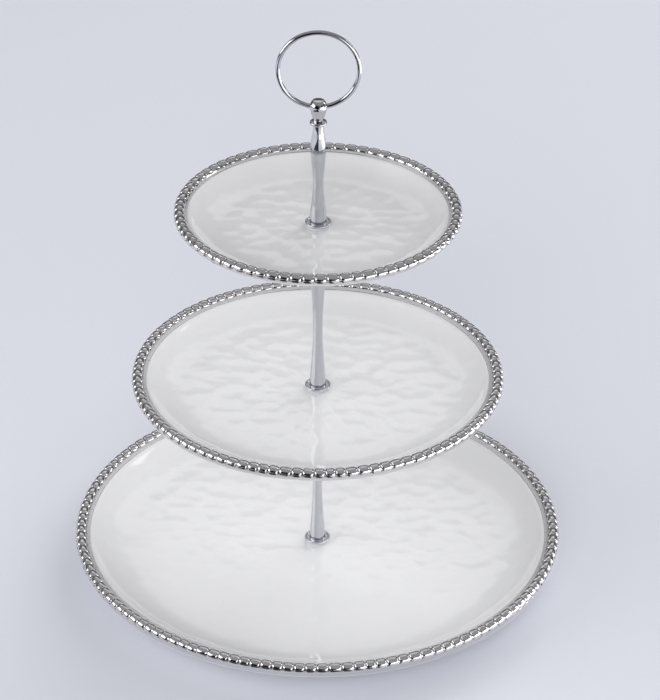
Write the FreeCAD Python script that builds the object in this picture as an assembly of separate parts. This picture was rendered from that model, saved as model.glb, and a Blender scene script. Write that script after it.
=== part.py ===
import FreeCAD, Part
import math
import os
from FreeCAD import Vector

# Three-tier cake stand: three glazed dishes on a screwed stem, with a swinging ring handle.
# Millimetres, +Z up. The origin is on the table, at the centre of the bottom dish's foot ring.
# The ring handle stands in the XZ plane, so the front of the stand looks along -Y.

# Driving dimensions: the dishes
bottom_dish_radius = 159.0
middle_dish_radius = 118.7
top_dish_radius = 89.3
bottom_dish_depth = 13.3      # from the rim level, 2 mm under the beads' tops, down to the floor
middle_dish_depth = 11.4
top_dish_depth = 11.2
bottom_band_drop = 6.8        # from the rim level down to the band's lower edge
middle_band_drop = 5.6
top_band_drop = 5.0
bottom_lip_width = 2.1        # plain silver wall inside the beads, seen from above
middle_lip_width = 2.0
top_lip_width = 1.0
bottom_foot_radius = 96.0     # middle of the foot ring
middle_foot_radius = 66.0
top_foot_radius = 48.0
bottom_foot_height = 5.2
upper_foot_height = 2.5       # on the middle and top dishes
floor_thickness = 4.6
foot_ring_width = 6.0
bead_row_width = 7.4
bead_height = 6.6
bead_drop = 1.3               # from the rim level down to the middle of the beads
lip_drop = 1.5                # from the rim level down to where the glaze starts
band_inset = 2.4              # how far the band's lower edge lies inside the dish's radius
wall_slope = 45.0             # degrees, where the glaze starts
underside_slope = 34.0        # degrees, at the band's lower edge
dish_bore_radius = 4.0

# Driving dimensions: the washers
flange_radius = 8.2
flange_thickness = 2.0
flange_dish = 0.7             # depth of the hollow in the flange's top
flange_lip = 1.3              # width of the raised edge round that hollow
cup_washer_radius = 8.2
cup_washer_thickness = 1.2
seal_radius = 7.6
seal_thickness = 0.8
bush_spigot_length = 3.6

# Driving dimensions: the rods, studs and screw
long_rod_length = 109.0
short_rod_length = 50.5
long_rod_waist_height = 42.0
short_rod_waist_height = 26.2
rod_foot_radius = 5.1
long_rod_waist_radius = 3.05
short_rod_waist_radius = 3.25
long_rod_top_radius = 5.3
short_rod_top_radius = 4.7
long_rod_foot_swell = 1.6     # how soon the rod swells out from its waist towards its foot
long_rod_top_swell = 4.0      # the same, towards its top
short_rod_foot_swell = 2.7
short_rod_top_swell = 2.7
stud_radius = 2.5
stud_engagement = 10.0        # of the two dish studs in each rod
finial_stud_engagement = 6.4  # of the finial's stud in the upper rod
finial_stud_grip = 9.0        # of the same stud in the finial, where it stays
hole_spare_depth = 0.6        # left between a stud's end and the hole's end
screw_length = 18.0
screw_head_radius = 4.5
screw_head_height = 2.6
screw_recess_width = 1.1
screw_recess_length = 5.0
screw_recess_depth = 1.2

# Driving dimensions: the finial and the ring
bell_height = 14.0
bell_radius = 4.7
neck_radius = 3.3
neck_height = 6.1             # collar included
collar_height = 3.2           # from the neck's foot to the middle of the collar
collar_radius = 5.35
collar_thickness = 2.4
cone_height = 6.3
ball_radius = 5.6
ball_seat_drop = 1.3          # from the ball's centre down to the cone's upper edge
ball_flat_rise = 4.5          # from the ball's centre up to its flat top
ring_radius = 24.5            # to the middle of the wire
ring_wire_radius = 1.5

# Clearances
thread_clearance = 0.04
bush_clearance = 0.1
washer_clearance = 0.2
ring_clearance = 0.05
edge_round = 0.4
rod_curve_steps = 6


class Outline:
    """A closed half-section in the XZ plane, drawn from point to point as (radius, height)."""

    def __init__(self, radius, height):
        self.first = Vector(radius, 0, height)
        self.last = self.first
        self.edges = []

    def add(self, curve, end):
        self.edges.append(curve.toShape())
        self.last = end

    def line(self, radius, height):
        end = Vector(radius, 0, height)
        self.add(Part.LineSegment(self.last, end), end)

    def arc(self, through, end):
        middle = Vector(through[0], 0, through[1])
        stop = Vector(end[0], 0, end[1])
        self.add(Part.Arc(self.last, middle, stop), stop)

    def bowl(self, radius, height, slope):
        """Arc between the last point and (radius, height), level at the lower and inner one."""
        outer, inner = sorted([self.last, Vector(radius, 0, height)], key=lambda point: -point.z)
        angle = math.radians(slope)
        bend = (outer.z - inner.z) / (1 - math.cos(angle))
        middle_r = inner.x + bend * math.sin(angle / 2)
        middle_z = inner.z + bend * (1 - math.cos(angle / 2))
        self.arc((middle_r, middle_z), (radius, height))

    def curve(self, points):
        """Smooth curve from the last point through all of these."""
        stops = [Vector(radius, 0, height) for radius, height in points]
        spline = Part.BSplineCurve()
        spline.interpolate([self.last] + stops)
        self.add(spline, stops[-1])

    def face(self):
        self.line(self.first.x, self.first.z)
        return Part.Face(Part.Wire(self.edges))

    def turned(self):
        """Solid of revolution about the Z axis."""
        return self.face().revolve(Vector(0, 0, 0), Vector(0, 0, 1), 360)


def bowl_run(drop, slope):
    """How far a bowl arc reaches sideways while it falls by drop."""
    angle = math.radians(slope)
    return drop * math.sin(angle) / (1 - math.cos(angle))


def washer(radius, bore, low, high):
    """Flat ring with its two outer edges rounded."""
    outline = Outline(bore, low)
    rounding = min(edge_round, (high - low) / 3)
    corner = rounding * (1 - math.sqrt(0.5))
    outline.line(radius - rounding, low)
    outline.arc((radius - corner, low + corner), (radius, low + rounding))
    outline.line(radius, high - rounding)
    outline.arc((radius - corner, high - corner), (radius - rounding, high))
    outline.line(bore, high)
    return outline.turned()


def dish(radius, depth, band_drop, lip_width, foot_radius, foot_height, floor_z):
    """Shallow dish: level floor, wall that curves up, rolled rim, silver band and foot ring."""
    rim_z = floor_z + depth
    under_z = floor_z - floor_thickness
    foot_z = under_z - foot_height
    foot_in = foot_radius - foot_ring_width / 2
    foot_out = foot_radius + foot_ring_width / 2
    foot_round = min(foot_height, foot_ring_width) / 3
    band_r = radius - band_inset
    band_z = rim_z - band_drop
    under_r = band_r - bowl_run(band_z - under_z, underside_slope)
    lip_r = radius - bead_row_width - lip_width
    lip_z = rim_z - lip_drop
    floor_r = lip_r - bowl_run(lip_z - floor_z, wall_slope)

    outline = Outline(dish_bore_radius, under_z)
    outline.line(foot_in, under_z)
    outline.line(foot_in, foot_z + foot_round)
    outline.line(foot_in + foot_round, foot_z)
    outline.line(foot_out - foot_round, foot_z)
    outline.line(foot_out, foot_z + foot_round)
    outline.line(foot_out, under_z)
    outline.line(under_r, under_z)
    outline.bowl(band_r, band_z, underside_slope)
    bead_middle = Vector(radius - bead_row_width / 2, 0, rim_z - bead_drop)
    side = bead_middle + Vector(bead_row_width / 2, 0, 0)
    top = bead_middle + Vector(0, 0, bead_height / 2)
    roll = Part.ArcOfEllipse(Part.Ellipse(side, top, bead_middle), math.radians(-12), math.pi)
    outline.line(roll.StartPoint.x, roll.StartPoint.z)
    outline.add(roll, roll.EndPoint)
    outline.line(lip_r, lip_z)
    outline.bowl(floor_r, floor_z, wall_slope)
    outline.line(dish_bore_radius, floor_z)
    return outline.turned()


def flange(low):
    """Washer at a rod's foot, with a shallow hollow in its top inside a rounded edge."""
    top = low + flange_thickness
    hollow_r = flange_radius - flange_lip
    outline = Outline(stud_radius + washer_clearance, low)
    outline.line(flange_radius - edge_round, low)
    outline.arc((flange_radius, low + flange_thickness / 2), (flange_radius - edge_round * 2, top))
    outline.line(hollow_r + edge_round, top)
    outline.line(hollow_r, top - flange_dish)
    outline.line(rod_foot_radius + edge_round, top - flange_dish)
    outline.line(rod_foot_radius, top)
    outline.line(stud_radius + washer_clearance, top)
    return outline.turned()


def bush(top):
    """Soft washer under a dish, with a spigot that fills the dish's bore round the stud."""
    low = top - seal_thickness
    bore = stud_radius + bush_clearance
    spigot = dish_bore_radius - bush_clearance
    outline = Outline(bore, low)
    outline.line(seal_radius, low)
    outline.line(seal_radius, top)
    outline.line(spigot, top)
    outline.line(spigot, top + bush_spigot_length)
    outline.line(bore, top + bush_spigot_length)
    return outline.turned()


def swelling(end_radius, end_z, waist_radius, waist_z, swell):
    """Points of a rod's outline from its waist to one end, level with the axis at the waist."""
    points = []
    for step in range(1, rod_curve_steps + 1):
        share = step / rod_curve_steps
        growth = 1 - (1 - share ** 2) ** swell
        radius = waist_radius + (end_radius - waist_radius) * growth
        points.append((radius, waist_z + (end_z - waist_z) * share))
    return points


def rod(low, length, waist_height, waist_radius, top_radius, swells, foot_hole, top_hole):
    """Waisted rod with a blind tapped hole in each end."""
    high = low + length
    waist = (waist_radius, low + waist_height)
    hole = stud_radius + thread_clearance
    to_foot = swelling(rod_foot_radius, low, *waist, swells[0])
    to_top = swelling(top_radius, high, *waist, swells[1])
    outline = Outline(0, low + foot_hole)
    outline.line(hole, low + foot_hole)
    outline.line(hole, low)
    outline.line(rod_foot_radius, low)
    outline.curve(to_foot[-2::-1] + [waist] + to_top)
    outline.line(hole, high)
    outline.line(hole, high - top_hole)
    outline.line(0, high - top_hole)
    return outline.turned()


def stud(low, high):
    """Plain cylinder at the thread's outer radius, with a chamfer at each end."""
    chamfer = edge_round
    outline = Outline(0, low)
    outline.line(stud_radius - chamfer, low)
    outline.line(stud_radius, low + chamfer)
    outline.line(stud_radius, high - chamfer)
    outline.line(stud_radius - chamfer, high)
    outline.line(0, high)
    return outline.turned()


def screw(head_top):
    """Pan head screw, head down, with a cross recess."""
    head_low = head_top - screw_head_height
    tip = head_top + screw_length
    shoulder = (screw_head_radius * 0.88, head_low + screw_head_height * 0.35)
    outline = Outline(0, head_low)
    outline.line(screw_head_radius / 2, head_low)
    outline.arc(shoulder, (screw_head_radius, head_top))
    outline.line(stud_radius, head_top)
    outline.line(stud_radius, tip - edge_round)
    outline.line(stud_radius - edge_round, tip)
    outline.line(0, tip)
    body = outline.turned()
    slots = ((screw_recess_length, screw_recess_width), (screw_recess_width, screw_recess_length))
    for length, width in slots:
        corner = Vector(-length / 2, -width / 2, head_low)
        body = body.cut(Part.makeBox(length, width, screw_recess_depth, corner))
    return body


def ball_centre(low):
    """Height of the middle of the finial's ball, for a finial that stands at low."""
    return low + bell_height + neck_height + cone_height + ball_seat_drop


def finial(low):
    """Turned knob: bell, neck with a collar, cone and ball, with a flared cross hole for the ring."""
    hole = stud_radius + thread_clearance
    hole_top = low + finial_stud_grip + hole_spare_depth
    neck_z = low + bell_height
    collar_z = neck_z + collar_height
    cone_z = neck_z + neck_height
    ball_z = ball_centre(low)
    edge_r = math.sqrt(ball_radius ** 2 - ball_seat_drop ** 2)
    flat_r = math.sqrt(ball_radius ** 2 - ball_flat_rise ** 2)
    half = collar_thickness / 2
    outline = Outline(0, hole_top)
    outline.line(hole, hole_top)
    outline.line(hole, low)
    outline.line(bell_radius, low)
    outline.curve([
        (bell_radius - (bell_radius - neck_radius) * 0.3, low + bell_height * 0.55),
        (neck_radius, neck_z),
    ])
    outline.line(neck_radius, collar_z - half)
    outline.line(collar_radius - half, collar_z - half)
    outline.arc((collar_radius, collar_z), (collar_radius - half, collar_z + half))
    outline.line(neck_radius, collar_z + half)
    outline.line(neck_radius, cone_z)
    outline.line(edge_r, cone_z + cone_height)
    outline.arc((ball_radius, ball_z), (flat_r, ball_z + ball_flat_rise))
    outline.line(0, ball_z + ball_flat_rise)
    return outline.turned().cut(ring_passage(ball_z))


def ring_passage(ball_z):
    """The flared hole along X that the curved wire passes through at every angle of its swing."""
    reach = ball_radius + 1
    bend = ring_radius - ring_wire_radius - ring_clearance
    mouth = ring_radius - math.sqrt(bend ** 2 - reach ** 2)
    throat = ring_radius - bend
    points = [Vector(-reach, 0, 0), Vector(-reach, 0, mouth), Vector(reach, 0, mouth), Vector(reach, 0, 0)]
    flare = Part.Arc(points[1], Vector(0, 0, throat), points[2]).toShape()
    sides = [Part.LineSegment(points[0], points[1]), Part.LineSegment(points[2], points[3])]
    sides.append(Part.LineSegment(points[3], points[0]))
    section = Part.Face(Part.Wire([sides[0].toShape(), flare, sides[1].toShape(), sides[2].toShape()]))
    passage = section.revolve(Vector(0, 0, 0), Vector(1, 0, 0), 360)
    passage.translate(Vector(0, 0, ball_z))
    return passage


def ring(ball_z):
    """Round wire ring, standing up from the ball's centre in the XZ plane."""
    centre = Vector(0, 0, ball_z + ring_radius)
    return Part.makeTorus(ring_radius, ring_wire_radius, centre, Vector(0, 1, 0))


def tier(name, radius, depth, band_drop, lip_width, foot_radius, foot_height, floor_z):
    """One dish with the soft and metal washers above and below it. Returns pieces and both faces."""
    under_z = floor_z - floor_thickness
    washer_top = under_z - seal_thickness
    washer_low = washer_top - cup_washer_thickness
    flange_low = floor_z + seal_thickness
    bore = stud_radius + washer_clearance
    pieces = {
        name + "_dish": dish(radius, depth, band_drop, lip_width, foot_radius, foot_height, floor_z),
        name + "_dish_seal": washer(seal_radius, bore, floor_z, flange_low),
        name + "_dish_bush": bush(under_z),
        name + "_cup_washer": washer(cup_washer_radius, bore, washer_low, washer_top),
        name + "_flange": flange(flange_low),
    }
    return pieces, washer_low, flange_low + flange_thickness


def build():
    """All pieces of the stand, from the table up."""
    rod_to_floor = cup_washer_thickness + seal_thickness + floor_thickness
    stack = rod_to_floor + seal_thickness + flange_thickness
    stud_hole = stud_engagement + hole_spare_depth
    screw_hole = screw_length - stack + hole_spare_depth
    finial_hole = finial_stud_engagement + hole_spare_depth
    long_swells = (long_rod_foot_swell, long_rod_top_swell)
    short_swells = (short_rod_foot_swell, short_rod_top_swell)

    bottom_floor = bottom_foot_height + floor_thickness
    pieces, screw_seat, lower_low = tier(
        "bottom", bottom_dish_radius, bottom_dish_depth, bottom_band_drop, bottom_lip_width,
        bottom_foot_radius, bottom_foot_height, bottom_floor)
    pieces["bottom_screw"] = screw(screw_seat)
    pieces["lower_rod"] = rod(
        lower_low, long_rod_length, long_rod_waist_height, long_rod_waist_radius, long_rod_top_radius,
        long_swells, screw_hole, stud_hole)

    middle_seat = lower_low + long_rod_length
    middle, middle_seat, middle_low = tier(
        "middle", middle_dish_radius, middle_dish_depth, middle_band_drop, middle_lip_width,
        middle_foot_radius, upper_foot_height, middle_seat + rod_to_floor)
    pieces.update(middle)
    pieces["middle_dish_stud"] = stud(middle_seat - stud_engagement, middle_low + stud_engagement)
    pieces["middle_rod"] = rod(
        middle_low, long_rod_length, long_rod_waist_height, long_rod_waist_radius, long_rod_top_radius,
        long_swells, stud_hole, stud_hole)

    top_seat = middle_low + long_rod_length
    top, top_seat, upper_low = tier(
        "top", top_dish_radius, top_dish_depth, top_band_drop, top_lip_width,
        top_foot_radius, upper_foot_height, top_seat + rod_to_floor)
    pieces.update(top)
    pieces["top_dish_stud"] = stud(top_seat - stud_engagement, upper_low + stud_engagement)
    pieces["upper_rod"] = rod(
        upper_low, short_rod_length, short_rod_waist_height, short_rod_waist_radius,
        short_rod_top_radius, short_swells, stud_hole, finial_hole)

    finial_low = upper_low + short_rod_length
    pieces["finial_stud"] = stud(finial_low - finial_stud_engagement, finial_low + finial_stud_grip)
    pieces["finial"] = finial(finial_low)
    pieces["ring_handle"] = ring(ball_centre(finial_low))
    return pieces


def main():
    os.makedirs("parts", exist_ok=True)
    for name, shape in build().items():
        shape.exportStep("parts/" + name + ".step")
        box = shape.BoundBox
        print(name, "solids", len(shape.Solids), "volume", round(shape.Volume, 1),
              "z", round(box.ZMin, 2), round(box.ZMax, 2), "valid", shape.isValid())


main()
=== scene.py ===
# %% [markdown]
# # A three-tier cake stand
# The stand is three glazed dishes with beaded silver rims, screwed onto a turned metal stem.
# Its construction is a set of solid parts with real joints. This lesson dresses those parts for
# the eye: it reads where each one is, and models finer pieces in the same places.

# %% Load the parts and keep their box
import bpy
import math
import random
from mathutils import Matrix, Vector


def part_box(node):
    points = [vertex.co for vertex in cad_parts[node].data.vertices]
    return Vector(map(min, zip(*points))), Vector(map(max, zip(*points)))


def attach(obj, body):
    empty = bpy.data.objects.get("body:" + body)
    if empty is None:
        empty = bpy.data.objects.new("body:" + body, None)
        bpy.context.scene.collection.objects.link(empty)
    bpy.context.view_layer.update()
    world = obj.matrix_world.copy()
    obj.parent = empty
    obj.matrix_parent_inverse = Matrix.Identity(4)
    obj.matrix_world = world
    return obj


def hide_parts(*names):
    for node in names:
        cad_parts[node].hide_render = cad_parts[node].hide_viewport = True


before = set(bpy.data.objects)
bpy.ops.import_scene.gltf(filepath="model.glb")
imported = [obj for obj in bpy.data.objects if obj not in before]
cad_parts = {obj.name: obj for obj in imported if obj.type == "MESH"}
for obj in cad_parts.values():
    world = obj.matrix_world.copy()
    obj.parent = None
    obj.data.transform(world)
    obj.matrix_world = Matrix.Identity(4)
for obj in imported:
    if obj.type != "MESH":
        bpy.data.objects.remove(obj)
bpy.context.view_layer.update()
mm = 0.001
merge_distance = 0.001 * mm

# %% [markdown]
# ## Small helpers
# An operator works on whatever is selected, so every step starts by deselecting. A turned piece
# such as a rod is one outline swept about an axis, as on a lathe. The outline grows from a single
# point by extruding it from corner to corner. Edit mode's Spin could sweep it, but with hundreds
# of steps the Screw modifier does the same in a moment, so it is added and applied instead.
# Merging the doubles closes the seam and the poles, and then the normals can be made to agree.

# %% Select one piece
def select_only(piece):
    bpy.ops.object.select_all(action="DESELECT")
    piece.select_set(True)
    bpy.context.view_layer.objects.active = piece


def name_new(name):
    """Names the primitive that was just added."""
    piece = bpy.context.object
    piece.name = name
    piece.data.name = name
    return piece


# %% Apply a modifier
def apply_modifier(piece, kind, **settings):
    """Adds one modifier, sets it and applies it."""
    select_only(piece)
    bpy.ops.object.modifier_add(type=kind)
    modifier = piece.modifiers[-1]
    for key, value in settings.items():
        setattr(modifier, key, value)
    bpy.ops.object.modifier_apply(modifier=modifier.name)


def close_up(piece):
    """Merges the points that coincide and turns every face outwards."""
    select_only(piece)
    bpy.ops.object.mode_set(mode="EDIT")
    bpy.ops.mesh.select_all(action="SELECT")
    bpy.ops.mesh.remove_doubles(threshold=merge_distance)
    bpy.ops.mesh.normals_make_consistent(inside=False)
    bpy.ops.object.mode_set(mode="OBJECT")


# %% Draw an outline
def draw_outline(name, outline):
    """A chain of edges through (radius, height) points in metres, drawn by extruding one point."""
    bpy.ops.object.select_all(action="DESELECT")
    bpy.ops.mesh.primitive_plane_add(size=mm)
    piece = name_new(name)
    bpy.ops.object.mode_set(mode="EDIT")
    bpy.ops.mesh.select_mode(type="VERT")
    bpy.ops.mesh.select_all(action="SELECT")
    bpy.ops.mesh.merge(type="CENTER")
    last = Vector((outline[0][0], 0, outline[0][1]))
    bpy.ops.transform.translate(value=last)
    for radius, height in outline[1:]:
        point = Vector((radius, 0, height))
        bpy.ops.mesh.extrude_region_move(TRANSFORM_OT_translate={"value": point - last})
        last = point
    bpy.ops.object.mode_set(mode="OBJECT")
    return piece


# %% Turn an outline on the lathe
def turn(name, outline, steps, sharp_degrees=30):
    """Sweeps a closed outline about the Z axis."""
    piece = draw_outline(name, list(outline) + [outline[0]])
    bpy.ops.object.mode_set(mode="EDIT")
    bpy.ops.mesh.select_all(action="SELECT")
    bpy.ops.mesh.remove_doubles(threshold=merge_distance)
    bpy.ops.object.mode_set(mode="OBJECT")
    apply_modifier(piece, "SCREW", steps=steps, render_steps=steps,
        use_merge_vertices=True, merge_threshold=merge_distance)
    close_up(piece)
    bpy.ops.object.shade_smooth_by_angle(angle=math.radians(sharp_degrees))
    print(name, "faces", len(piece.data.polygons))
    return piece


# %% Outlines
def arc_points(centre, radii, start, stop, count):
    """Points on an ellipse from one angle to another, in degrees, both ends included."""
    points = []
    for step in range(count + 1):
        angle = math.radians(start + (stop - start) * step / count)
        across = centre[0] + radii[0] * math.cos(angle)
        points.append((across, centre[1] + radii[1] * math.sin(angle)))
    return points


def bowl_points(low, high, slope, count):
    """Points on an arc that leaves the low, inner point level and reaches the high, outer one."""
    angle = math.radians(slope)
    bend = (high[1] - low[1]) / (1 - math.cos(angle))
    points = []
    for step in range(count + 1):
        turned = angle * step / count
        points.append((low[0] + bend * math.sin(turned), low[1] + bend * (1 - math.cos(turned))))
    return points


def bowl_run(drop, slope):
    """How far a bowl arc reaches sideways while it falls by drop."""
    angle = math.radians(slope)
    return drop * math.sin(angle) / (1 - math.cos(angle))


# %% [markdown]
# ## The camera
# The stand is seen from a little above, from far enough away that the dishes stay true ovals.

# %% Camera
camera_place = (0.00775, -1.5404, 1.0873)
camera_pitch_down = 31.154
camera_roll = 0.3
camera_lens = 145.75
bpy.ops.object.select_all(action="DESELECT")
bpy.ops.object.camera_add(location=camera_place)
camera = bpy.context.object
pitch = Matrix.Rotation(math.radians(90 - camera_pitch_down), 4, "X")
roll = Matrix.Rotation(math.radians(camera_roll), 4, "Z")
camera.matrix_world = Matrix.Translation(camera_place) @ pitch @ roll
camera.data.lens = camera_lens
camera.data.sensor_width = 36
camera.data.clip_start = 0.05
camera.data.clip_end = 30
bpy.context.scene.camera = camera
print("camera at", camera_place)

# %% [markdown]
# ## Materials
# Every finish is a Principled shader with a little noise in its roughness and its surface, since
# no real plating or glaze is perfectly even. The noise reads Object coordinates, so it stays on
# the piece as it turns.

# %% One recipe for a finish
def finish(name, colour, metal, rough, grain, bump, rough_spread, mottle, ior=1.5):
    """A shader whose colour and roughness vary a little, and whose surface ripples a little.

    grain is the noise's scale. bump is the height of the ripples in metres. rough_spread and
    mottle are how far the roughness and the colour stray from their middle values.
    """
    material = bpy.data.materials.new(name)
    material.use_nodes = True
    nodes = material.node_tree.nodes
    links = material.node_tree.links
    shader = nodes["Principled BSDF"]
    shader.inputs["Metallic"].default_value = metal
    shader.inputs["IOR"].default_value = ior
    place = nodes.new("ShaderNodeTexCoord")
    noise = nodes.new("ShaderNodeTexNoise")
    noise.inputs["Scale"].default_value = grain
    noise.inputs["Detail"].default_value = 4
    links.new(place.outputs["Object"], noise.inputs["Vector"])
    tint = nodes.new("ShaderNodeMapRange")
    tint.inputs["To Min"].default_value = rough - rough_spread
    tint.inputs["To Max"].default_value = rough + rough_spread
    links.new(noise.outputs["Fac"], tint.inputs["Value"])
    links.new(tint.outputs["Result"], shader.inputs["Roughness"])
    shade = nodes.new("ShaderNodeMix")
    shade.data_type = "RGBA"
    shade.inputs["A"].default_value = tuple(value * (1 - mottle) for value in colour) + (1,)
    shade.inputs["B"].default_value = tuple(min(1, value * (1 + mottle)) for value in colour) + (1,)
    links.new(noise.outputs["Fac"], shade.inputs["Factor"])
    links.new(shade.outputs["Result"], shader.inputs["Base Color"])
    ripple = nodes.new("ShaderNodeBump")
    ripple.inputs["Strength"].default_value = 1.0
    ripple.inputs["Distance"].default_value = bump
    links.new(noise.outputs["Fac"], ripple.inputs["Height"])
    links.new(ripple.outputs["Normal"], shader.inputs["Normal"])
    return material


# %% The finishes
glaze = finish("white_glaze", (0.785, 0.785, 0.79), 0.0, 0.04, 260, 0.002 * mm, 0.015, 0.01, ior=1.65)
raw_clay = finish("unglazed_foot", (0.66, 0.62, 0.55), 0.0, 0.75, 900, 0.05 * mm, 0.05, 0.06)
silver = finish("plated_silver", (0.75, 0.74, 0.74), 1.0, 0.11, 260, 0.005 * mm, 0.04, 0.04)
satin_silver = finish("satin_silver_lip", (0.84, 0.83, 0.83), 0.62, 0.30, 420, 0.010 * mm, 0.08, 0.05)
# Painted shade: a dark, dull band along the inside of the lip where the plating ends.
painted_shade_line = finish("painted_shade_line", (0.26, 0.26, 0.27), 1.0, 0.30, 140, 0.010 * mm, 0.10, 0.60)
chrome = finish("polished_chrome", (0.63, 0.64, 0.67), 1.0, 0.08, 300, 0.001 * mm, 0.03, 0.02)
satin_chrome = finish("satin_chrome", (0.74, 0.75, 0.78), 1.0, 0.26, 300, 0.0005 * mm, 0.02, 0.01)
zinc_steel = finish("zinc_plated_steel", (0.58, 0.58, 0.57), 1.0, 0.34, 700, 0.010 * mm, 0.06, 0.05)
clear_seal = finish("clear_plastic_seal", (0.72, 0.73, 0.74), 0.0, 0.45, 300, 0.004 * mm, 0.05, 0.03)
slot_finishes = {
    "glaze": glaze,
    "silver_rim": silver,
    "chrome": chrome,
    "satin_chrome": satin_chrome,
    "zinc_steel": zinc_steel,
    "clear_seal": clear_seal,
}
print("finishes:", sorted(slot_finishes))

# %% [markdown]
# ## The room
# A plain pale floor runs past the edges of the view. Two very large soft lamps light it evenly:
# the key at the back right throws the wide shadow to the front left, and one on the camera's side
# fills it. Polished metal is only as good as what it reflects, so it mirrors neither of them. It
# has smaller screens of its own at the left, right and back, and the camera's side of the room is
# dark. That gives each bead its black front and the white spark beside it.

# %% Floor
bpy.ops.object.select_all(action="DESELECT")
bpy.ops.mesh.primitive_plane_add(size=8)
floor = name_new("floor")
floor_paper = finish("pale_paper_floor", (0.735, 0.75, 0.81), 0.0, 0.85, 2.0, 0.0, 0.02, 0.01)
floor.data.materials.append(floor_paper)

# %% [markdown]
# A studio puts black into polished silver with a sheet of black card that lies in front of the
# piece, just out of view. Here the card shows in reflections only, and takes no light away.

# %% Black card
card_left = -0.60
card_right = 0.05
card_front = -3.5
card_back = -0.175
card_lift = 1.0 * mm
bpy.ops.object.select_all(action="DESELECT")
bpy.ops.mesh.primitive_plane_add(size=1)
card = name_new("black_card")
bpy.ops.object.mode_set(mode="EDIT")
bpy.ops.mesh.select_all(action="SELECT")
bpy.ops.transform.resize(value=(card_right - card_left, card_back - card_front, 1))
card_middle = ((card_left + card_right) / 2, (card_front + card_back) / 2, card_lift)
bpy.ops.transform.translate(value=card_middle)
bpy.ops.object.mode_set(mode="OBJECT")
card.data.materials.append(finish("black_card", (0.03, 0.03, 0.035), 0.0, 0.9, 40, 0.0, 0.02, 0.02))
card.visible_camera = False
card.visible_diffuse = False
card.visible_shadow = False


# %% Lamps
def soft_lamp(name, place, aim, width, height, power, reflected=True, lights=True):
    """A rectangular lamp that faces its aim.

    Glaze and metal mirror it if it is reflected. Matt things are lit by it if it lights.
    """
    bpy.ops.object.select_all(action="DESELECT")
    bpy.ops.object.light_add(type="AREA", location=place)
    lamp = bpy.context.object
    lamp.name = name
    lamp.data.shape = "RECTANGLE"
    lamp.data.size = width
    lamp.data.size_y = height
    lamp.data.energy = power
    lamp.rotation_euler = (Vector(aim) - Vector(place)).to_track_quat("-Z", "Y").to_euler()
    lamp.visible_camera = False
    lamp.visible_glossy = reflected
    lamp.visible_diffuse = lights
    return lamp


# The key and the front lamp only light. The right panel and the back softbox are only mirrored:
# the one draws highlights on the beads, and the other shows the hollows in the glaze. The other
# three do both.
stand_middle = (0, 0, 0.15)
soft_lamp("key_lamp", (1.85, 3.15, 2.05), stand_middle, 3.4, 2.0, 80, reflected=False)
soft_lamp("front_lamp", (-0.70, -3.40, 1.90), stand_middle, 2.4, 1.8, 49, reflected=False)
soft_lamp("left_softbox", (-1.50, -0.35, 0.85), stand_middle, 1.7, 0.9, 10)
soft_lamp("right_screen", (1.05, -0.95, 0.35), stand_middle, 1.6, 0.6, 6.0)
soft_lamp("right_panel", (0.62, -0.10, 0.14), (0, -0.10, 0.14), 0.50, 0.27, 1.0, lights=False)
soft_lamp("back_softbox", (0.10, 2.60, 2.20), stand_middle, 2.4, 0.85, 3.4, lights=False)
soft_lamp("right_back_lamp", (1.45, 0.60, 0.95), stand_middle, 0.4, 0.7, 2.2)

# %% [markdown]
# The world has three parts. The camera sees a pale wall. Diffuse surfaces get a soft light, most of
# it from near the horizon. Mirrors see a room: grey overhead, darker round the horizon and black on
# the camera's side.

# %% World
world = bpy.data.worlds.new("studio")
bpy.context.scene.world = world
world.use_nodes = True
sky_nodes = world.node_tree.nodes
sky_links = world.node_tree.links
sky = sky_nodes["Background"]
wall_colour = (0.68, 0.70, 0.76, 1)
soft_light = (0.87, 0.87, 0.88, 1)
camera_side = (-0.45, -0.89, 0.05)


def sky_ramp(level, stops):
    """A grey ramp over a level of the sky that runs from -1 to 1. Its stops are (level, grey)."""
    spread = sky_nodes.new("ShaderNodeMapRange")
    spread.inputs["From Min"].default_value = -1
    spread.inputs["From Max"].default_value = 1
    ramp = sky_nodes.new("ShaderNodeValToRGB")
    sky_links.new(level, spread.inputs["Value"])
    sky_links.new(spread.outputs["Result"], ramp.inputs["Fac"])
    for element, (place, grey) in zip(ramp.color_ramp.elements, stops):
        element.position = (place + 1) / 2
        element.color = (grey, grey, grey * 1.03, 1)
    return ramp.outputs["Color"]


def sky_mix(kind, factor, a, b):
    """Mixes or multiplies two sky colours."""
    mix = sky_nodes.new("ShaderNodeMix")
    mix.data_type = "RGBA"
    mix.blend_type = kind
    for name, value in (("Factor", factor), ("A", a), ("B", b)):
        if isinstance(value, bpy.types.NodeSocket):
            sky_links.new(value, mix.inputs[name])
        else:
            mix.inputs[name].default_value = value
    return mix.outputs["Result"]


direction = sky_nodes.new("ShaderNodeTexCoord")
split = sky_nodes.new("ShaderNodeSeparateXYZ")
sky_links.new(direction.outputs["Generated"], split.inputs["Vector"])
height = split.outputs["Z"]
facing = sky_nodes.new("ShaderNodeVectorMath")
facing.operation = "DOT_PRODUCT"
facing.inputs[1].default_value = camera_side
sky_links.new(direction.outputs["Generated"], facing.inputs[0])
dark_corner = sky_ramp(facing.outputs["Value"], ((0.70, 1.0), (0.88, 0.03)))
from_horizon = sky_ramp(height, ((0.42, 0.12), (0.70, 0.33)))
room = sky_mix("MULTIPLY", 1.0, from_horizon, dark_corner)
overhead_dim = sky_ramp(height, ((0.15, 1.0), (0.80, 0.30)))
even_light = sky_mix("MULTIPLY", 1.0, overhead_dim, soft_light)
ray = sky_nodes.new("ShaderNodeLightPath")
seen = sky_mix("MIX", ray.outputs["Is Glossy Ray"], even_light, room)
shown = sky_mix("MIX", ray.outputs["Is Camera Ray"], seen, wall_colour)
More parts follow.
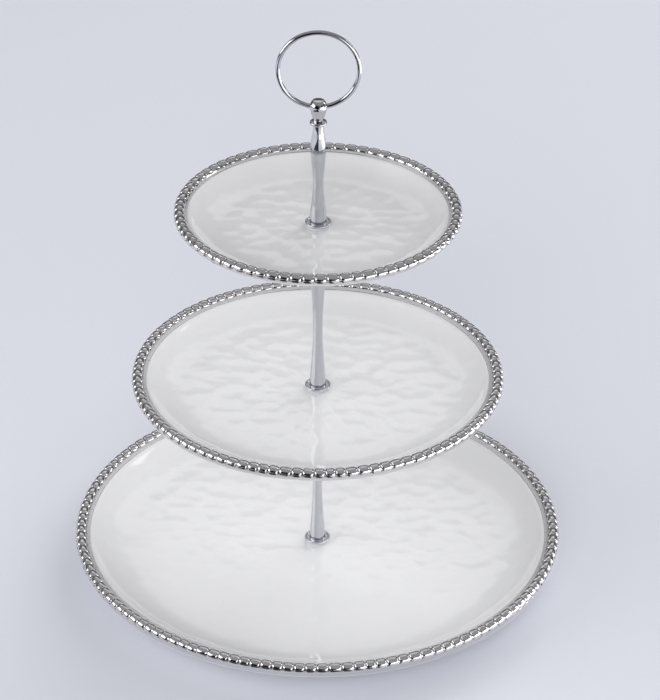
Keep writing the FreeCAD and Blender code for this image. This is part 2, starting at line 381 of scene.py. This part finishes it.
sky_links.new(shown, sky.inputs["Color"])
bpy.context.scene.view_settings.view_transform = "Standard"

# %% [markdown]
# ## The dishes
# Each dish is slip-cast and glazed white, pressed with shallow round hollows like hammered metal,
# and its rim is plated silver: a row of beads, a plain band below them and a narrow lip inside.
# The body is one outline turned on the lathe, with its own faces for glaze, silver and bare clay.
# The hollows are real: a displacement of a few tenths of a millimetre is enough to make the
# reflections wander.

# %% Dish sizes
floor_thickness = 4.6 * mm
foot_ring_width = 6.0 * mm
bead_row_width = 7.4 * mm
bead_height = 6.6 * mm
bead_drop = 1.3 * mm
lip_drop = 1.5 * mm
band_inset = 2.4 * mm
wall_slope = 45.0
underside_slope = 34.0
bore_radius = 4.0 * mm
core_share = 0.74              # the solid core inside the beads, as a share of their section
lip_cove = 1.2 * mm            # how high the lip's cove climbs towards the beads
cove_reach = 0.6 * mm          # how far the cove runs on under the beads
cove_end = 0.2 * mm
band_edge_radius = 0.75 * mm
band_fullness = 0.10 * mm
foot_flare = (0.5 * mm, 0.4 * mm)
floor_ring_width = 1.7 * mm
dishes = {
    "bottom": {"band_drop": 6.8, "lip": 2.1, "foot": 96, "beads": 134, "steps": 448},
    "middle": {"band_drop": 5.6, "lip": 2.0, "foot": 66, "beads": 104, "steps": 352},
    "top": {"band_drop": 5.0, "lip": 1.0, "foot": 48, "beads": 74, "steps": 256},
}
for tier, dish in dishes.items():
    low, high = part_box(tier + "_dish")
    dish["body"] = tier + "_tier"
    dish["radius"] = high.x
    dish["rim_z"] = high.z - bead_height / 2 + bead_drop
    dish["floor_z"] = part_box(tier + "_dish_seal")[0].z
    dish["foot_z"] = low.z
    print(tier, "radius", round(high.x, 4), "rim", round(dish["rim_z"], 4),
        "floor", round(dish["floor_z"], 4))


# %% Dish outline
def foot_points(dish, under_z):
    """The underside from the bore out, and the foot ring that stands below it."""
    foot_z = dish["foot_z"]
    foot_in = dish["foot"] * mm - foot_ring_width / 2
    foot_out = dish["foot"] * mm + foot_ring_width / 2
    foot_round = min(under_z - foot_z, foot_ring_width) / 3
    points = [(bore_radius, under_z)]
    points += [(foot_in - foot_flare[0], under_z), (foot_in, under_z - foot_flare[1])]
    points += [(foot_in, foot_z + foot_round), (foot_in + foot_round, foot_z)]
    points += [(foot_out - foot_round, foot_z), (foot_out, foot_z + foot_round)]
    points += [(foot_out, under_z - foot_flare[1]), (foot_out + foot_flare[0], under_z)]
    return points


def band_points(dish, under_z):
    """The underside beyond the foot, the band's rounded lower edge and its slightly full side."""
    radius, band_r, band_z, bead_z = dish["radius"], dish["band_r"], dish["band_z"], dish["bead_z"]
    under_r = band_r - bowl_run(band_z - under_z, underside_slope)
    under_end = (band_r - 0.10 * mm, band_z + 0.05 * mm)
    points = bowl_points((under_r, under_z), under_end, underside_slope, 10)
    edge_middle = (band_r - 0.52 * mm, band_z + 0.67 * mm)
    edge_start = underside_slope - 88
    points += arc_points(edge_middle, (band_edge_radius, band_edge_radius), edge_start, -26, 4)
    low = points[-1]
    high = (radius - 0.45 * mm, bead_z - 0.60 * mm)
    for share in (0.25, 0.5, 0.75):
        fullness = band_fullness * 4 * share * (1 - share)
        across = low[0] + (high[0] - low[0]) * share + fullness
        points.append((across, low[1] + (high[1] - low[1]) * share))
    points += [high, (radius - 0.30 * mm, bead_z - 0.25 * mm), (radius - 0.65 * mm, bead_z - 0.05 * mm)]
    return points


def lip_points(dish):
    """The cove that falls from the beads to the lip, and the small step where the plating ends."""
    lip_r, lip_z = dish["lip_r"], dish["lip_z"]
    cove_start = dish["lip"] * mm + cove_reach
    points = []
    for share in (0.0, 0.2, 0.4, 0.6, 0.8):
        rise = lip_cove * (1 - share) ** 1.5
        across = lip_r + cove_end + (cove_start - cove_end) * (1 - share)
        points.append((across, lip_z + rise))
    points += [(lip_r + 0.12 * mm, lip_z - 0.06 * mm), (lip_r, lip_z - 0.20 * mm)]
    points += [(lip_r - 0.02 * mm, lip_z - 0.50 * mm)]
    return points


def inside_points(dish):
    """The wall, down from the lip, and the flat floor in rings that can take the hollows."""
    floor_z = dish["floor_z"]
    floor_r = dish["lip_r"] - bowl_run(dish["lip_z"] - floor_z, wall_slope)
    wall_top = (dish["lip_r"] - 0.25 * mm, dish["lip_z"] - 0.60 * mm)
    points = bowl_points((floor_r, floor_z), wall_top, wall_slope, 16)[::-1]
    ring_count = int((floor_r - bore_radius) / floor_ring_width)
    for ring in range(1, ring_count + 1):
        points.append((floor_r + (bore_radius - floor_r) * ring / ring_count, floor_z))
    return points


def dish_outline(dish):
    """Closed outline from the bore's lower edge, out along the underside and back over the top."""
    dish["band_r"] = dish["radius"] - band_inset
    dish["band_z"] = dish["rim_z"] - dish["band_drop"] * mm
    dish["bead_z"] = dish["rim_z"] - bead_drop
    dish["lip_r"] = dish["radius"] - bead_row_width - dish["lip"] * mm
    dish["lip_z"] = dish["rim_z"] - lip_drop
    under_z = dish["floor_z"] - floor_thickness
    core = (dish["radius"] - bead_row_width / 2, dish["bead_z"])
    core_radii = (bead_row_width / 2 * core_share, bead_height / 2 * core_share)
    points = foot_points(dish, under_z) + band_points(dish, under_z)
    points += arc_points(core, core_radii, -5, 180, 12)
    return points + lip_points(dish) + inside_points(dish)


# %% Turn the three bodies
for tier, dish in dishes.items():
    dish["piece"] = turn(tier + "_dish_body", dish_outline(dish), dish["steps"], 40)

# %% [markdown]
# ### Hollows in the glaze
# A cell texture gives rounded hollows about a centimetre across, like hammer marks. A vertex
# group keeps them to the inside of the dish, and fades them out at the lip and round the washer.

# %% Press the hollows
hollow_size = 11.0 * mm
hollow_depth = 0.40 * mm
hollow_mean = 0.20
swell_size = 26 * mm
swell_depth = 0.20 * mm
washer_edge = 9.0 * mm
fade_width = 6.0 * mm
floor_tolerance = 0.1 * mm


def inside_weight(dish, radius, height):
    """1 in the middle of the glazed inside, fading to 0 at the lip and under the washer."""
    outer = (dish["lip_r"] - radius) / fade_width
    inner = (radius - washer_edge) / fade_width
    above = height > dish["floor_z"] - floor_tolerance
    return max(0, min(1, outer, inner)) if above else 0


def press_hollows(dish):
    """Displaces the inside by the cells and a longer swell, and softens the edges between cells."""
    piece = dish["piece"]
    group = piece.vertex_groups.new(name="inside")
    for vertex in piece.data.vertices:
        radius = math.hypot(vertex.co.x, vertex.co.y)
        weight = inside_weight(dish, radius, vertex.co.z)
        if weight > 0:
            group.add([vertex.index], weight, "REPLACE")
    cells = bpy.data.textures.new(piece.name + "_cells", "VORONOI")
    cells.noise_scale = hollow_size
    cells.distance_metric = "DISTANCE_SQUARED"
    apply_modifier(piece, "DISPLACE", texture=cells, vertex_group="inside", direction="Z",
        strength=hollow_depth, mid_level=hollow_mean, texture_coords="LOCAL")
    swell = bpy.data.textures.new(piece.name + "_swell", "CLOUDS")
    swell.noise_scale = swell_size
    apply_modifier(piece, "DISPLACE", texture=swell, vertex_group="inside", direction="Z",
        strength=swell_depth, mid_level=0.5, texture_coords="LOCAL")
    apply_modifier(piece, "SMOOTH", factor=0.5, iterations=2, vertex_group="inside")


for dish in dishes.values():
    press_hollows(dish)
    heights = []
    for vertex in dish["piece"].data.vertices:
        radius = math.hypot(vertex.co.x, vertex.co.y)
        on_floor = abs(vertex.co.z - dish["floor_z"]) < mm
        if on_floor and washer_edge + fade_width < radius < dish["lip_r"] - 35 * mm:
            heights.append(vertex.co.z)
    print(dish["piece"].name, "hollow depth in mm:", round((max(heights) - min(heights)) / mm, 3))

# %% [markdown]
# ### Glaze, silver and bare clay on one body
# The finishes meet on the same casting, so they are material slots of one mesh, given to its
# faces by where each face's middle lies. The silver is bright under the beads and satin on the
# lip. A narrow dark band is painted inside the lip where the plating ends, as painted shade, and
# the band's rounded lower edge is left white glaze as a painted light line. The foot is wiped
# clean of glaze, or it would stick to the kiln's shelf.

# %% Give each face its finish
dish_finishes = {
    "glaze": glaze,
    "silver": silver,
    "raw_clay": raw_clay,
    "painted_shade_line": painted_shade_line,
    "satin_silver": satin_silver,
}
# Below this height the band's rounded lower edge stays white glaze: a painted light line in place of
# the light its silver would reflect.
painted_light_line_height = 0.4 * mm        # above the band's lower edge
wiped_height = 0.2 * mm
shade_line_width = 0.3 * mm
shade_line_height = 0.6 * mm


def finish_at(dish, radius, height):
    """Which finish a point of the dish's surface has."""
    # Silver starts a little above the band's lower edge, which leaves that edge white as a painted
    # light line.
    if radius > dish["lip_r"] and height > dish["band_z"] + painted_light_line_height:
        return "satin_silver" if radius < dish["lip_r"] + dish["lip"] * mm else "silver"
    if height < dish["foot_z"] + wiped_height:
        return "raw_clay"
    # The narrow band just inside the lip gets the painted shade.
    if dish["lip_r"] - shade_line_width < radius < dish["lip_r"] and height > dish["lip_z"] - shade_line_height:
        return "painted_shade_line"
    return "glaze"


def dress_dish(tier, dish):
    """Gives the faces their finishes, and puts the dish in the place of its part."""
    piece = dish["piece"]
    for material in dish_finishes.values():
        piece.data.materials.append(material)
    slots = list(dish_finishes)
    plated = 0
    for face in piece.data.polygons:
        kind = finish_at(dish, math.hypot(face.center.x, face.center.y), face.center.z)
        face.material_index = slots.index(kind)
        plated += "silver" in kind
    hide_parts(tier + "_dish")
    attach(piece, dish["body"])
    print(piece.name, "plated faces", plated)


for tier, dish in dishes.items():
    dress_dish(tier, dish)

# %% [markdown]
# ### Beads
# The beads are small barrels laid end to end round the rim. One is made by hand: a short
# twelve-sided drum, its two ends extruded and drawn in three times. It is then copied round, and
# each copy's length, height and place vary a little, as they do when a rim is modelled by hand.

# %% One bead
bpy.ops.object.select_all(action="DESELECT")
bead_sides = 12
drum_length = 0.76
bpy.ops.mesh.primitive_cylinder_add(
    vertices=bead_sides, radius=1, depth=drum_length, end_fill_type="NGON")
bead = name_new("bead_pattern")


def draw_in_ends(reach, share):
    """Extrudes both end faces outwards and shrinks them."""
    for side in (1, -1):
        bpy.ops.object.mode_set(mode="EDIT")
        bpy.ops.mesh.select_mode(type="FACE")
        bpy.ops.mesh.select_all(action="DESELECT")
        bpy.ops.object.mode_set(mode="OBJECT")
        for face in bead.data.polygons:
            face.select = face.normal.z * side > 0.9
        bpy.ops.object.mode_set(mode="EDIT")
        bpy.ops.mesh.extrude_region_move(TRANSFORM_OT_translate={"value": (0, 0, reach * side)})
        bpy.ops.transform.resize(value=(share, share, 1))
        bpy.ops.object.mode_set(mode="OBJECT")


select_only(bead)
for reach, share in ((0.28, 0.95), (0.20, 0.86), (0.14, 0.68)):
    draw_in_ends(reach, share)
bpy.ops.object.mode_set(mode="EDIT")
bpy.ops.mesh.select_all(action="SELECT")
bpy.ops.transform.rotate(value=math.radians(90), orient_axis="X", center_override=(0, 0, 0))
bpy.ops.mesh.normals_make_consistent(inside=False)
bpy.ops.object.mode_set(mode="OBJECT")
bpy.ops.object.shade_smooth()
bead_length = bead.dimensions.y
print("bead faces", len(bead.data.polygons), "length", round(bead_length, 3))


# %% Beads round a rim
length_spread = 0.13            # shares of a bead's own size
thickness_spread = 0.02
height_spread = 0.025
place_spread = 0.06 * mm
lean_spread = math.radians(2.4)
bead_overlap = 1.02             # each bead runs a little into the next
first_seed = 20


def bead_row(tier, dish, seed):
    """Copies the bead round the rim. Each copy has its own mesh, and all are joined."""
    chance = random.Random(seed)
    middle_r = dish["radius"] - bead_row_width / 2
    shares = [1 + chance.uniform(-length_spread, length_spread) for _ in range(dish["beads"])]
    total = sum(shares)
    copies = []
    turned = chance.uniform(0, 0.03)
    for share in shares:
        width = math.tau * share / total
        angle = turned + width / 2
        turned += width
        length = width * middle_r * bead_overlap
        thick = bead_row_width / 2 * (1 - abs(chance.gauss(0, thickness_spread)))
        tall = bead_height / 2 * (1 - abs(chance.gauss(0, height_spread)))
        inward = abs(chance.gauss(0, place_spread))
        lean = Matrix.Rotation(chance.gauss(0, lean_spread), 4, "Z")
        size = Matrix.Diagonal((thick, length / bead_length, tall, 1))
        place = Matrix.Translation((middle_r - inward, 0, dish["rim_z"] - bead_drop))
        copy = bead.copy()
        copy.data = bead.data.copy()
        bpy.context.collection.objects.link(copy)
        copy.data.transform(Matrix.Rotation(angle, 4, "Z") @ place @ lean @ size)
        copies.append(copy)
    bpy.ops.object.select_all(action="DESELECT")
    for copy in copies:
        copy.select_set(True)
    bpy.context.view_layer.objects.active = copies[0]
    bpy.ops.object.join()
    row = name_new(tier + "_bead_row")
    row.data.materials.append(silver)
    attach(row, dish["body"])
    print(row.name, "beads", dish["beads"], "faces", len(row.data.polygons))


for number, (tier, dish) in enumerate(dishes.items()):
    bead_row(tier, dish, first_seed + number)
bpy.data.objects.remove(bead)

# %% [markdown]
# ## The stem
# Three waisted rods are screwed end to end through the dishes. A rod's outline bows in towards
# its waist and out again: close to the waist it is nearly level with the axis, and towards the end
# it swells faster. Each end has a tapped hole, and a tiny chamfer where the tool broke the edge.

# %% Rod outline
rod_foot_radius = 5.1 * mm
thread_hole_radius = 2.54 * mm
hole_depth = 10.6 * mm
edge_break = 0.12 * mm
curve_steps = 18


def swelling(end, waist, swell):
    """Points from a rod's waist to one end of it, each (radius, height)."""
    points = []
    for step in range(1, curve_steps + 1):
        share = step / curve_steps
        growth = 1 - (1 - share ** 2) ** swell
        radius = waist[0] + (end[0] - waist[0]) * growth
        points.append((radius, waist[1] + (end[1] - waist[1]) * share))
    return points


def rod_outline(low, high, waist_height, waist_radius, top_radius, swells):
    """Closed outline of a rod with a tapped hole in each end."""
    waist = (waist_radius, low + waist_height)
    to_foot = swelling((rod_foot_radius, low), waist, swells[0])[::-1]
    to_top = swelling((top_radius, high), waist, swells[1])
    to_foot[0] = (rod_foot_radius, low + edge_break)
    to_top[-1] = (top_radius, high - edge_break)
    points = [(0, low + hole_depth), (thread_hole_radius, low + hole_depth), (thread_hole_radius, low)]
    points += [(rod_foot_radius - edge_break, low)] + to_foot + [waist] + to_top
    points += [(top_radius - edge_break, high), (thread_hole_radius, high)]
    points += [(thread_hole_radius, high - hole_depth), (0, high - hole_depth)]
    return points


# %% Turn the rods
def stand_for(piece, node, body, slot):
    """The piece takes a part's place, moves with its body and has its finish."""
    piece.data.materials.clear()
    piece.data.materials.append(slot_finishes[slot])
    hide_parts(node)
    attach(piece, body)


turning_steps = 96
long_rod = {
    "waist_height": 42 * mm,
    "waist_radius": 3.05 * mm,
    "top_radius": 5.3 * mm,
    "swells": (1.6, 4.0),
}
short_rod = {
    "waist_height": 26.2 * mm,
    "waist_radius": 3.25 * mm,
    "top_radius": 4.7 * mm,
    "swells": (2.7, 2.7),
}
rods = {"lower_rod": long_rod, "middle_rod": long_rod, "upper_rod": short_rod}
for node, shape in rods.items():
    low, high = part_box(node)
    piece = turn(node + "_turned", rod_outline(low.z, high.z, **shape), turning_steps)
    stand_for(piece, node, "stem", "chrome")

# %% [markdown]
# Each rod stands on a flange: a small saucer with a rolled edge that spreads the load on the
# glaze. The edges are full rounds, because a bright line along a rounded edge is what makes
# small metal look real.

# %% Turn the flanges
flange_lip = 1.3 * mm
flange_hollow = 0.7 * mm
flange_foot_round = 0.5 * mm
flange_roll_height = 0.45 * mm


def flange_outline(low, high, radius):
    """Closed outline of a flange: a rounded foot, a rolled edge and a hollow round the rod."""
    lip_middle = radius - flange_lip / 2
    lip_inside = radius - flange_lip
    floor_z = high - flange_hollow
    round_middle = (radius - flange_foot_round, low + flange_foot_round)
    roll_middle = (lip_middle, high - flange_roll_height)
    points = [(thread_hole_radius, low), (round_middle[0], low)]
    points += arc_points(round_middle, (flange_foot_round, flange_foot_round), -90, 0, 5)
    points += arc_points(roll_middle, (flange_lip / 2, flange_roll_height), 0, 180, 10)
    points += [(lip_inside, floor_z + 0.12 * mm), (lip_inside - 0.12 * mm, floor_z)]
    points += [(rod_foot_radius + 0.25 * mm, floor_z), (rod_foot_radius, floor_z + 0.2 * mm)]
    points += [(rod_foot_radius - 0.02 * mm, high), (thread_hole_radius, high)]
    return points


for tier in dishes:
    low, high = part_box(tier + "_flange")
    piece = turn(tier + "_flange_turned", flange_outline(low.z, high.z, high.x), turning_steps)
    stand_for(piece, tier + "_flange", "stem", "satin_chrome")

# %% [markdown]
# ## The finial
# The knob is turned from one bar: a bell, a neck with a collar, a cone and a ball with a flat top.
# The ring passes through a cross hole in the ball. The hole is flared at both mouths, because a
# bent wire can't pass through a straight one, so the tool that cuts it is a spool turned on the
# same lathe and laid on its side.

# %% Turn the knob
knob_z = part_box("finial")[0].z
neck_z = knob_z + 14.0 * mm
collar_z = neck_z + 3.2 * mm
cone_z = neck_z + 6.1 * mm
seat_z = cone_z + 6.3 * mm
ball_z = seat_z + 1.3 * mm
flat_z = ball_z + 4.5 * mm
bell_radius = 4.7 * mm
neck_radius = 3.3 * mm
collar_radius = 5.35 * mm
ball_radius = 5.6 * mm
collar_half = 1.2 * mm
knob_hole_depth = 9.6 * mm
edge_radius = math.sqrt(ball_radius ** 2 - (ball_z - seat_z) ** 2)
flat_radius = math.sqrt(ball_radius ** 2 - (flat_z - ball_z) ** 2)


def bell_side(count):
    """A smooth S from the bell's foot up into the neck, slow to leave the foot."""
    points = []
    for step in range(count + 1):
        share = step / count
        ease = share * share * (3 - 2 * share)
        radius = bell_radius - (bell_radius - neck_radius) * (0.35 * ease + 0.65 * ease * ease)
        points.append((radius, knob_z + (neck_z - knob_z) * share))
    return points


hole_top = knob_z + knob_hole_depth
outline = [(0, hole_top), (thread_hole_radius, hole_top), (thread_hole_radius, knob_z)]
outline += [(bell_radius - edge_break, knob_z), (bell_radius, knob_z + edge_break)]
outline += bell_side(24)[1:]
outline += [(neck_radius, collar_z - collar_half)]
outline += arc_points((collar_radius - collar_half, collar_z), (collar_half, collar_half), -90, 90, 14)
outline += [(neck_radius, collar_z + collar_half), (neck_radius, cone_z - 0.2 * mm)]
outline += [(neck_radius + 0.08 * mm, cone_z)]
outline += [(edge_radius - 0.25 * mm, seat_z - 0.45 * mm)]
outline += [(edge_radius - 0.05 * mm, seat_z - 0.15 * mm)]
seat_angle = math.degrees(math.asin((seat_z - ball_z) / ball_radius))
flat_angle = math.degrees(math.asin((flat_z - ball_z) / ball_radius))
outline += arc_points((0, ball_z), (ball_radius, ball_radius), seat_angle + 2, flat_angle - 2, 20)
outline += [(flat_radius - 0.25 * mm, flat_z), (0, flat_z)]
knob = turn("finial_turned", outline, turning_steps)

# %% Cut the cross hole
ring_radius = 24.5 * mm
wire_radius = 1.5 * mm
ring_clearance = 0.05 * mm
hole_bend = ring_radius - wire_radius - ring_clearance
spool_reach = ball_radius + mm
spool_steps = 16
spool = [(0, -spool_reach)]
for step in range(spool_steps + 1):
    along = spool_reach * (2 * step / spool_steps - 1)
    spool.append((ring_radius - math.sqrt(hole_bend ** 2 - along ** 2), along))
spool.append((0, spool_reach))
cutter = turn("ring_hole_cutter", spool, 48)
select_only(cutter)
cutter.rotation_euler = (0, math.radians(90), 0)
cutter.location = (0, 0, ball_z)
bpy.ops.object.transform_apply(location=True, rotation=True, scale=True)
apply_modifier(knob, "BOOLEAN", object=cutter, operation="DIFFERENCE", solver="EXACT")
bpy.data.objects.remove(cutter)
select_only(knob)
bpy.ops.object.shade_smooth_by_angle(angle=math.radians(30))
stand_for(knob, "finial", "finial", "chrome")
print("knob faces", len(knob.data.polygons))

# %% [markdown]
# ## The ring
# The ring is a round wire bent into a hoop and closed inside the ball. Its outline is the wire's
# own circle, swept about the hoop's axis, and then stood up in the ball.

# %% Bend the ring
wire_circle = arc_points((ring_radius, 0), (wire_radius, wire_radius), 0, 345, 23)
hoop = turn("ring_wire", wire_circle, 192, 60)
select_only(hoop)
hoop.rotation_euler = (math.radians(90), 0, 0)
hoop.location = (0, 0, ball_z + ring_radius)
bpy.ops.object.transform_apply(location=True, rotation=True, scale=True)
stand_for(hoop, "ring_handle", "ring", "chrome")

# %% [markdown]
# ## The finial's stud
# Unscrewing the finial lifts it on its stud, so this thread shows. One turn of the thread is a
# small zigzag, swept up a helix by the Screw modifier and cut level at both ends with Bisect.

# %% Cut the thread
thread_pitch = 0.8 * mm
crest_radius = 2.48 * mm
root_radius = 2.06 * mm
low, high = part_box("finial_stud")
stud_length = high.z - low.z
thread_turns = int(stud_length / thread_pitch) + 5
thread_start = low.z - 2 * thread_pitch
zigzag = []
for radius, share in ((root_radius, 0), (root_radius, 0.12), (crest_radius, 0.42),
        (crest_radius, 0.58), (root_radius, 0.88), (root_radius, 1)):
    zigzag.append((radius, thread_start + thread_pitch * share))
stud = draw_outline("finial_stud_threaded", zigzag)
apply_modifier(stud, "SCREW", steps=32, render_steps=32, screw_offset=thread_pitch,
    iterations=thread_turns, use_merge_vertices=True, merge_threshold=merge_distance)
select_only(stud)
for height, side in ((low.z, 1), (high.z, -1)):
    bpy.ops.object.mode_set(mode="EDIT")
    bpy.ops.mesh.select_all(action="SELECT")
    bpy.ops.mesh.bisect(plane_co=(0, 0, height), plane_no=(0, 0, side), use_fill=True,
        clear_inner=True, threshold=1e-7)
    bpy.ops.object.mode_set(mode="OBJECT")
close_up(stud)
bpy.ops.object.shade_smooth_by_angle(angle=math.radians(25))
stand_for(stud, "finial_stud", "finial_thread", "zinc_steel")
print("thread faces", len(stud.data.polygons), "turns", round(stud_length / thread_pitch, 1))

# %% [markdown]
# ## Small parts
# The seals, bushes, washers, hidden studs and the bottom screw already have their true shapes,
# so they keep them and only get their finishes.

# %% Finish the carried-over parts
for name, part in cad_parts.items():
    if part.hide_render:
        continue
    if "seal" in name or "bush" in name:
        finish_name = "clear_seal"
    elif "stud" in name or "screw" in name:
        finish_name = "zinc_steel"
    else:
        finish_name = "satin_chrome"
    part.data.materials.clear()
    part.data.materials.append(slot_finishes[finish_name])
    print(name, "gets", finish_name)
